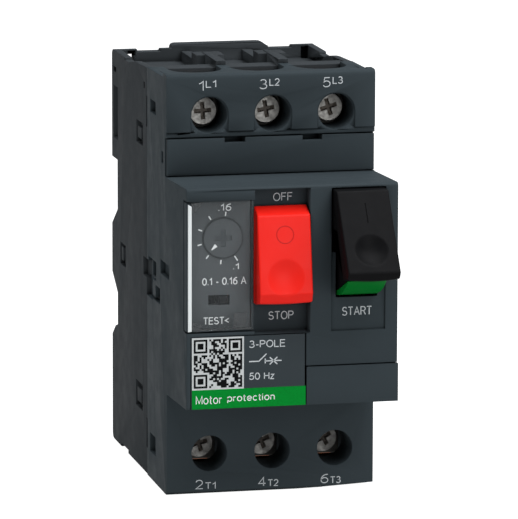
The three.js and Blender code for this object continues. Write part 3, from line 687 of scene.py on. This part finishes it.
def stop_button():
    x = (STOP_LOW.x, STOP_HIGH.x)
    centre_x = sum(x) / 2
    front = STOP_LOW.y
    outline = [
        (front + 6.1, 19.6, 0.25),
        (front + 2.8, 17.85, 0.5),
        (front, 2.0, 0.8),
        (front + 0.6, 0.1, 0.6),
        (front + 4.6, -0.75, 0.2),
        (front + 6.5, -0.9, 0.1),
        (front + 6.5, 18, 0.1),
    ]
    bm = bmesh.new()
    lean = math.atan2(2.8, 15.85)
    dent = hollow((centre_x, front + 0.6, 5.2), 3.9, 0.7)
    loft(
        bm,
        outline,
        x,
        relief=lambda a, y, z: dent(a, y, z) if y < front + 3 else 0.0,
        warp=bowed_rim(centre_x, 5.5, -0.9, 3.2, 0.35, front + 4.5),
    )
    neck = [
        (front + 6.4, 0.9),
        (front + 6.4, 15.4),
        (front + 9.8, 18),
        (front + 11.2, 18.4),
        (front + 13.2, 15),
        (front + 11.2, 4),
        (front + 9.4, 0.7),
    ]
    add_prism(bm, neck, x[0] + 0.9, x[1] - 0.9, axis="x")
    cap = put("stop_cap", finished("stop_cap", bm), RED, "stop_button", CAP_SMOOTH_BELOW)
    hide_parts("stop_button")

    # Raised ring, the off sign, lying in the sloping face that starts at the height foot_z. Its darker red
    # is painted shade.
    sign_z, foot_z = 14.0, 2.0
    bm = bmesh.new()
    add_ring(bm, (0, 0), 1.66, 1.9, (-0.05, 0.2))
    face_y = front + (sign_z - foot_z) * math.tan(lean) + 0.02
    spot = Matrix.Translation((centre_x + 0.1, face_y, sign_z)) @ Matrix.Rotation(-lean, 4, "X")
    bmesh.ops.transform(bm, matrix=spot, verts=bm.verts)
    ring = put("stop_off_sign", finished("stop_off_sign", bm), RED_SIGN_SHADE, "stop_button")
    bevel(ring, 0.05, 2)


# ------------------------------------------------------------------ start button


def start_button():
    x = (START_LOW.x, START_HIGH.x)
    centre_x = sum(x) / 2
    front = START_LOW.y
    _, pivot_y, pivot_z = (value / MM for value in joint("start_tilt")["pos_m"])
    outline = [
        (front + 10.9, 22.9, 0.5),
        (front, 7.6, 0.6),
        (front + 0.7, 6.2, 0.5),
        (front + 5, 5.5, 0.3),
        (front + 10.1, 14.4, 0.1),
        (front + 15.2, 14.4, 0.1),
        (front + 15.2, 22.9, 0.1),
    ]
    bm = bmesh.new()
    lean = math.atan2(10.9, 15.3)
    dent = hollow((centre_x + 0.05, front + 3.0, 11.8), 3.6, 1.15)
    loft(
        bm,
        outline,
        x,
        relief=lambda a, y, z: dent(a, y, z) if z > 7.9 and y < front + 10 else 0.0,
        warp=bowed_rim(centre_x, 5.4, 6.0, 2.0, 0.45, front + 3.5),
    )
    neck = [
        (pivot_y - 2, 20.5),
        (pivot_y - 6.6, 20),
        (pivot_y - 12.7, 8.2),
        (pivot_y - 12.5, 5.45),
        (pivot_y - 4.6, 2.25),
        (pivot_y - 1.2, 1.35),
        (pivot_y + 1.8, 4),
        (pivot_y + 1.6, 18),
    ]
    add_prism(bm, neck, 9.55, 17.65, axis="x")
    mesh = finished("start_button_cap", bm)
    cap = put("start_button_cap", mesh, BLACK, "start_button", CAP_SMOOTH_BELOW)
    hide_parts("start_cap")

    # Engraved stroke, the on sign, in the sloping face that starts at the height foot_z.
    sign_z, foot_z = 18.75, 7.6
    bm = bmesh.new()
    add_prism(bm, rectangle((-0.11, 0.11), (-2.3, 2.2)), -0.5, 0.18)
    face_y = front + (sign_z - foot_z) * math.tan(lean)
    spot = Matrix.Translation((centre_x + 0.1, face_y, sign_z)) @ Matrix.Rotation(-lean, 4, "X")
    bmesh.ops.transform(bm, matrix=spot, verts=bm.verts)
    carve(cap, finished("on_sign", bm))

    # The green underside is part of a drum round the pivot.
    radius = 19.17
    drum = [
        (pivot_y - radius * math.sin(t), pivot_z - radius * math.cos(t))
        for t in [0.02 + 0.695 * k / 24 for k in range(25)]
    ]
    outline = drum + [(pivot_y - 12.5, 5.25), (pivot_y - 4.6, 2.1), (pivot_y - 1.2, 1.2)]
    bm = bmesh.new()
    add_prism(bm, outline, 9.5, 17.7, axis="x")
    mesh = finished("start_button_underside", bm)
    under = put("start_button_underside", mesh, GREEN, "start_button")
    bevel(under, 0.12, 2)
    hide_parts("start_underside")


# ------------------------------------------------------------------ setting dial and window

POINTER_DEGREES = 224.5  # where the dial points at rest, from +X towards +Z
TICK_DEGREES = (83, 122.5, 159.6, 195, 230.2, 265.6, 303)
TICK_START = 4.6  # distance of the ticks from the dial's centre
TICK_LENGTH = 0.85
LAST_TICK_LENGTH = 1.15


def setting_dial():
    centre = (DIAL.x, DIAL.z)
    y = DIAL_Y
    bm = bmesh.new()
    profile = [
        (0, y + 8.2),
        (2, y + 8.2),
        (2, y + 1.6),
        (DIAL_R, y + 1.6),
        (DIAL_R, y + 0.2),
        (DIAL_R - 0.08, y + 0.05),
        (DIAL_R - 0.2, y),
        (0, y),
    ]
    add_turned(bm, profile, centre, 96)
    dial = put("dial_knob", finished("dial_knob", bm), PLATE, "setting_dial")
    bm = bmesh.new()
    arm, half = 1.8, 0.5
    cross = [
        (half, half),
        (half, arm),
        (-half, arm),
        (-half, half),
        (-arm, half),
        (-arm, -half),
        (-half, -half),
        (-half, -arm),
        (half, -arm),
        (half, -half),
        (arm, -half),
        (arm, half),
    ]
    add_prism(bm, [(a + centre[0], b + centre[1]) for a, b in cross], y - 1, y + 0.9)
    # The walls the cross leaves, and a floor piece set in it below, take a darker plate colour as painted
    # shade.
    carve(dial, finished("cross", bm), PLATE_SHADE)
    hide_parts("setting_dial")
    bm = bmesh.new()
    add_prism(bm, [(a * 0.98 + centre[0], b * 0.98 + centre[1]) for a, b in cross], y + 0.16, y + 0.95)
    put("dial_cross_floor_shade", finished("dial_cross_floor_shade", bm), PLATE_SHADE, "setting_dial")
    # A dark ring in the gap round the dial: painted shadow.
    bm = bmesh.new()
    add_ring(bm, centre, DIAL_R - 0.02, DIAL_R + 0.2, (y + 0.3, y + 0.6), 96)
    put("dial_gap_shadow", finished("dial_gap_shadow", bm), SHADOW_GROOVE, "housing")

    # The pointer is a painted wedge that narrows outwards.
    angle = math.radians(POINTER_DEGREES)
    along = Vector((math.cos(angle), math.sin(angle)))
    across = Vector((-along.y, along.x))
    origin = Vector(centre)
    inner, outer = 2.05, 3.4
    broad, narrow = 0.4, 0.08
    wedge = [
        origin + along * inner + across * broad,
        origin + along * outer + across * narrow,
        origin + along * outer - across * narrow,
        origin + along * inner - across * broad,
    ]
    flat_marks("dial_pointer", [[tuple(p) for p in wedge]], y, WHITE, "setting_dial")


def scale_marks():
    y = PLATE_LOW.y
    centre = Vector((DIAL.x, DIAL.z))
    ticks = []
    for degrees in TICK_DEGREES:
        along = Vector((math.cos(math.radians(degrees)), math.sin(math.radians(degrees))))
        length = LAST_TICK_LENGTH if degrees == TICK_DEGREES[-1] else TICK_LENGTH
        ticks.append(stroke(centre + along * TICK_START, centre + along * (TICK_START + length), LINE_WIDTH))
    flat_marks("scale_ticks", ticks, y, WHITE, thickness=TICK_PRINT)
    lettering("scale_top_value", ".16", (-14.9, -12.2), (18.6, 20.1), y, WHITE, SCALE_PEN)
    lettering("scale_low_value", ".1", (-11.8, -10.6), (6.3, 7.6), y, WHITE, SCALE_PEN)
    lettering("scale_range", "0.1 - 0.16 A", (-18.3, -9.0), (3.2, 4.75), y, WHITE, SCALE_PEN)
    lettering("test_word", "TEST<", (-18.1, -12.6), (-5.0, -3.45), y, WHITE, SCALE_PEN)


def window_cover():
    left, right = WINDOW_LOW.x, WINDOW_HIGH.x
    front = WINDOW_LOW.y
    z = (PLATE_LOW.z + 0.1, PLATE_HIGH.z - 0.05)
    bm = bmesh.new()
    add_prism(bm, rectangle((left + 0.95, right), z), front, front + 0.95)
    pane = put("window_pane", finished("window_pane", bm), CLEAR, "window_cover")
    bevel(pane, 0.18, 3)
    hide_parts("window_cover")

    # Upright edge of the pane: a ridge in front of the arm that carries the hinge, coloured light grey as a
    # painted highlight along the clear edge.
    bm = bmesh.new()
    add_prism(bm, rectangle((left, left + 1.0), z), front + 0.25, front + 2.6)
    arm = put("window_arm", finished("window_arm", bm), COVER, "window_cover")
    bevel(arm, 0.15, 2)
    bm = bmesh.new()
    near, far = left + 0.3, left + 1.08
    ridge = [(near, z[0]), (far, z[0] + 0.1), (far, z[1] - 0.7), (near, z[1] - 0.25)]
    add_prism(bm, ridge, front - 0.02, front + 0.6)
    edge = put("window_edge_highlight", finished("window_edge_highlight", bm), CLEAR_EDGE_HIGHLIGHT, "window_cover")
    bevel(edge, 0.12, 2)

    # Hinge gussets behind the pane's left corners, and the finger catch at its lower right, as thin sheets
    # whose dark tint is painted shade.
    corner = left + 1.1
    behind = front + 1
    top, bottom = z[1] - 0.05, z[0] + 0.05
    upper = [(corner, top), (corner + 2.6, top), (corner + 0.9, top - 2), (corner, top - 2.3)]
    lower = [(corner, bottom), (corner + 2.7, bottom), (corner + 2.2, bottom + 1.1), (corner, bottom + 2)]
    bm = bmesh.new()
    for outline in (upper, lower):
        add_prism(bm, outline, behind, behind + 0.3)
    gussets = put("window_gussets", finished("window_gussets", bm), CLEAR_SHADE, "window_cover")
    bm = bmesh.new()
    add_prism(bm, rectangle((-12.2, -9.4), (-5.3, -2.3)), behind, behind + 0.3)
    add_prism(bm, rectangle((corner + 2.7, right - 0.1), (bottom, -5.4)), behind, behind + 0.2)
    catch = put("window_catch", finished("window_catch", bm), CLEAR_SHADE, "window_cover")


# ------------------------------------------------------------------ terminal screws


def terminal_screw(side, n):
    node = f"{side}_screw_{n}"
    centre = Vector((middle(node).x, middle(node).z))
    y = low(node).y
    back = high(node).y
    bm = bmesh.new()
    shank, head, head_depth = 1.95, 3.05, 2.3
    profile = [
        (0, back),
        (1.5, back),
        (shank, back - 0.6),
        (shank, y + head_depth),
        (head, y + head_depth),
        (head, y + 0.3),
        (2.98, y + 0.1),
        (2.85, y),
        (2.6, y + 0.08),
        (0, y + 0.05),
    ]
    add_turned(bm, profile, centre, 56)
    screw = put(f"{side}_screw_head_{n}", finished(node, bm), SCREW, node)

    # Cross recess of two tapering slots. Each screw stands at its own angle.
    spin = 7 * n + (8 if side == "load" else -4)
    slot = rectangle((-2.3, 2.3), (-0.58, 0.58))
    above, below = y - 0.5, y + 0.9
    for turn in (spin, spin + 90):
        spun = Matrix.Rotation(math.radians(turn), 2)
        outline = [centre + spun @ Vector(p) for p in slot]
        bm = bmesh.new()
        near = [bm.verts.new((p.x, above, p.y)) for p in outline]
        far = [bm.verts.new((p.x, below, p.y)) for p in (centre.lerp(q, 0.5) for q in outline)]
        add_sides(bm, near, far)
        # The walls the slots leave take a dull darker colour: painted shade in the recess.
        carve(screw, finished("recess", bm), RECESS_SHADE)
    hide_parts(node)


# ------------------------------------------------------------------ label and printed marks

BAND_TOP = -17.95
BAND_TEXT = (-20.95, -19.15)  # foot and head of the words in the band
TEXT_LEFT = -9.15
CODE_SIZE = 10.9
CODE_MARGIN = 0.9  # dots of plain ground on each side
MODULES = 25  # dots along a side of the dot code
TARGET = 7  # dots along a side of a corner target


def code_dots():
    """The (column, row) places of the dark dots: random ones, and a target in each of three corners."""
    draw = random.Random(7)
    dots = {(c, r) for c in range(MODULES) for r in range(MODULES) if draw.random() < 0.54}
    last = TARGET - 1
    for tc, tr in [(0, 0), (MODULES - TARGET, 0), (0, MODULES - TARGET)]:
        for c in range(-1, TARGET + 1):
            for r in range(-1, TARGET + 1):
                edge = c in (0, last) or r in (0, last)
                core = 2 <= c <= 4 and 2 <= r <= 4
                inside = 0 <= c <= last and 0 <= r <= last
                dots.discard((tc + c, tr + r))
                if inside and (edge or core):
                    dots.add((tc + c, tr + r))
    return sorted(dots)


def rating_label():
    dress("rating_label", PANEL_PRINT, 0.03)
    y = LABEL_LOW.y
    left, right = LABEL_LOW.x + 0.15, LABEL_HIGH.x
    band = rectangle((left, right + 0.2), (LABEL_LOW.z, BAND_TOP))
    flat_marks("label_band", [band], y - 0.01, BAND)
    words = [
        ("label_band_word", "Motor", (left + 0.8, left + 6.3)),
        ("label_band_name", "protection", (left + 7.4, left + 17.4)),
    ]
    for name, text, x in words:
        lettering(name, text, x, BAND_TEXT, y - 0.05, WHITE, BAND_PEN)

    # Square dot code that holds no data.
    unit = CODE_SIZE / (MODULES + 2 * CODE_MARGIN)
    code_top = BAND_TOP + CODE_SIZE
    ground = rectangle((left, left + CODE_SIZE), (BAND_TOP, code_top))
    flat_marks("label_code_ground", [ground], y - 0.01, GROUND)
    squares = []
    for c, r in code_dots():
        x = left + unit * (c + CODE_MARGIN)
        z = code_top - unit * (r + (1 + CODE_MARGIN))
        squares.append(rectangle((x, x + unit * 1.01), (z, z + unit * 1.01)))
    flat_marks("label_code", squares, y - 0.04, DARK_INK)

    lettering("label_first_line", "3-POLE", (TEXT_LEFT, -1.5), (-9.55, -8.0), y)
    lettering("label_last_line", "50 Hz", (TEXT_LEFT, -3.8), (-16.25, -14.75), y)

    # Line symbol of a circuit breaker: a break arm, a bar and a cross.
    z = -12.4
    lines = [
        ((TEXT_LEFT, z), (-7.05, z)),
        ((-7.1, z), (-5.5, z + 1.5)),
        ((-5.75, z - 0.5), (-5.75, z + 0.5)),
        ((-5.75, z), (-2.3, z)),
        ((-4.8, z - 0.75), (-3.2, z + 0.75)),
        ((-4.8, z + 0.75), (-3.2, z - 0.75)),
    ]
    flat_marks("label_symbol", [stroke(a, b, LINE_WIDTH) for a, b in lines], y, MARK)


def printed_words():
    lettering("off_word", "OFF", (-3.4, 0.7), (20.25, 22.0), WORD_FLOOR_Y)
    lettering("stop_word", "STOP", (-4.3, 1.0), (-4.5, -2.75), WORD_FLOOR_Y)
    lettering("start_word", "START", (10.6, 16.9), (-3.7, -1.85), START_WORD_Y)
    upper = [("1", "L1"), ("3", "L2"), ("5", "L3")]
    lower = [("2", "T1"), ("4", "T2"), ("6", "T3")]
    for pole, (digit, name), (low_digit, low_name) in zip(POLES, upper, lower):
        indent = 0.6 if digit == "1" else 0.0  # the digit 1 is narrower
        lettering(f"mark_{digit}", digit, (pole - 2.95 + indent, pole - 1.3), (41.0, 43.1), BLOCK_Y)
        lettering(f"mark_{name}", name, (pole - 0.85, pole + 1.35), (41.65, 43.2), BLOCK_Y)
        lettering(f"mark_{low_digit}", low_digit, (pole - 3.0, pole - 1.35), (-43.4, -41.4), BLOCK_Y)
        lettering(f"mark_{low_name}", low_name, (pole - 0.95, pole + 1.35), (-43.5, -42.0), BLOCK_Y)


# ------------------------------------------------------------------ studio


def studio():
    """Soft lamps, in metres and watts, and a white floor that takes no visible shadow."""
    scene = bpy.context.scene
    scene.view_settings.view_transform = "Standard"
    world = bpy.data.worlds.new("studio")
    scene.world = world
    world.use_nodes = True
    background = world.node_tree.nodes["Background"]
    background.inputs["Color"].default_value = (0.93, 0.96, 1.0, 1.0)
    background.inputs["Strength"].default_value = 0.42

    bpy.ops.mesh.primitive_plane_add(size=12)
    floor = bpy.context.object
    floor.name = "floor"
    floor.location.z = cad_bounds[0].z - 0.0002
    made = Shader("floor_white")
    made.tint(made.noise(400, 2), (0.15, 0.15, 0.15, 1), (0.16, 0.16, 0.16, 1))
    made.bsdf.inputs["Roughness"].default_value = 0.9
    made.bsdf.inputs["Emission Color"].default_value = (1, 1, 1, 1)
    made.bsdf.inputs["Specular IOR Level"].default_value = 0.0
    made.bsdf.inputs["Emission Strength"].default_value = 1.0
    floor.data.materials.append(made.material)

    centre = (cad_bounds[0] + cad_bounds[1]) / 2

    def softbox(name, place, size, energy, colour=(1, 1, 1)):
        light = bpy.data.lights.new(name, "AREA")
        light.shape = "RECTANGLE"
        light.size, light.size_y = size
        light.energy = energy
        light.color = colour
        lamp = bpy.data.objects.new(name, light)
        scene.collection.objects.link(lamp)
        lamp.location = centre + Vector(place)
        lamp.rotation_euler = (-Vector(place)).to_track_quat("-Z", "Y").to_euler()

    softbox("overhead", (0.25, -0.25, 1.1), (1.4, 1.4), 40, (0.97, 0.98, 1.0))
    softbox("left", (-1.2, -0.45, 0.6), (1.0, 1.2), 5)
    softbox("front", (0.5, -1.5, 0.35), (0.9, 0.9), 11.5)


def camera():
    """A long lens in front of the object, a little to the left of it and above it."""
    azimuth = math.radians(-12.83)
    elevation = math.radians(10.30)
    roll = Matrix.Rotation(math.radians(0.149), 4, "Z")
    target = Vector((1.59, -34.0, 1.71)) * MM
    back = Vector(
        (
            math.sin(azimuth) * math.cos(elevation),
            -math.cos(azimuth) * math.cos(elevation),
            math.sin(elevation),
        )
    )
    data = bpy.data.cameras.new("camera")
    data.sensor_fit = "HORIZONTAL"
    data.sensor_width = 36.0
    data.lens = 363.0
    distance = 1.109  # metres
    data.clip_start, data.clip_end = 0.1, 20
    view = bpy.data.objects.new("camera", data)
    bpy.context.scene.collection.objects.link(view)
    turn = back.to_track_quat("Z", "Y").to_matrix().to_4x4()
    view.matrix_world = Matrix.Translation(target + back * distance) @ turn @ roll
    bpy.context.scene.camera = view


dress_nodes()
stop_button()
start_button()
setting_dial()
scale_marks()
window_cover()
for screw_side in ("line", "load"):
    for number in POLE_NUMBERS:
        terminal_screw(screw_side, number)
rating_label()
printed_words()
studio()
camera()
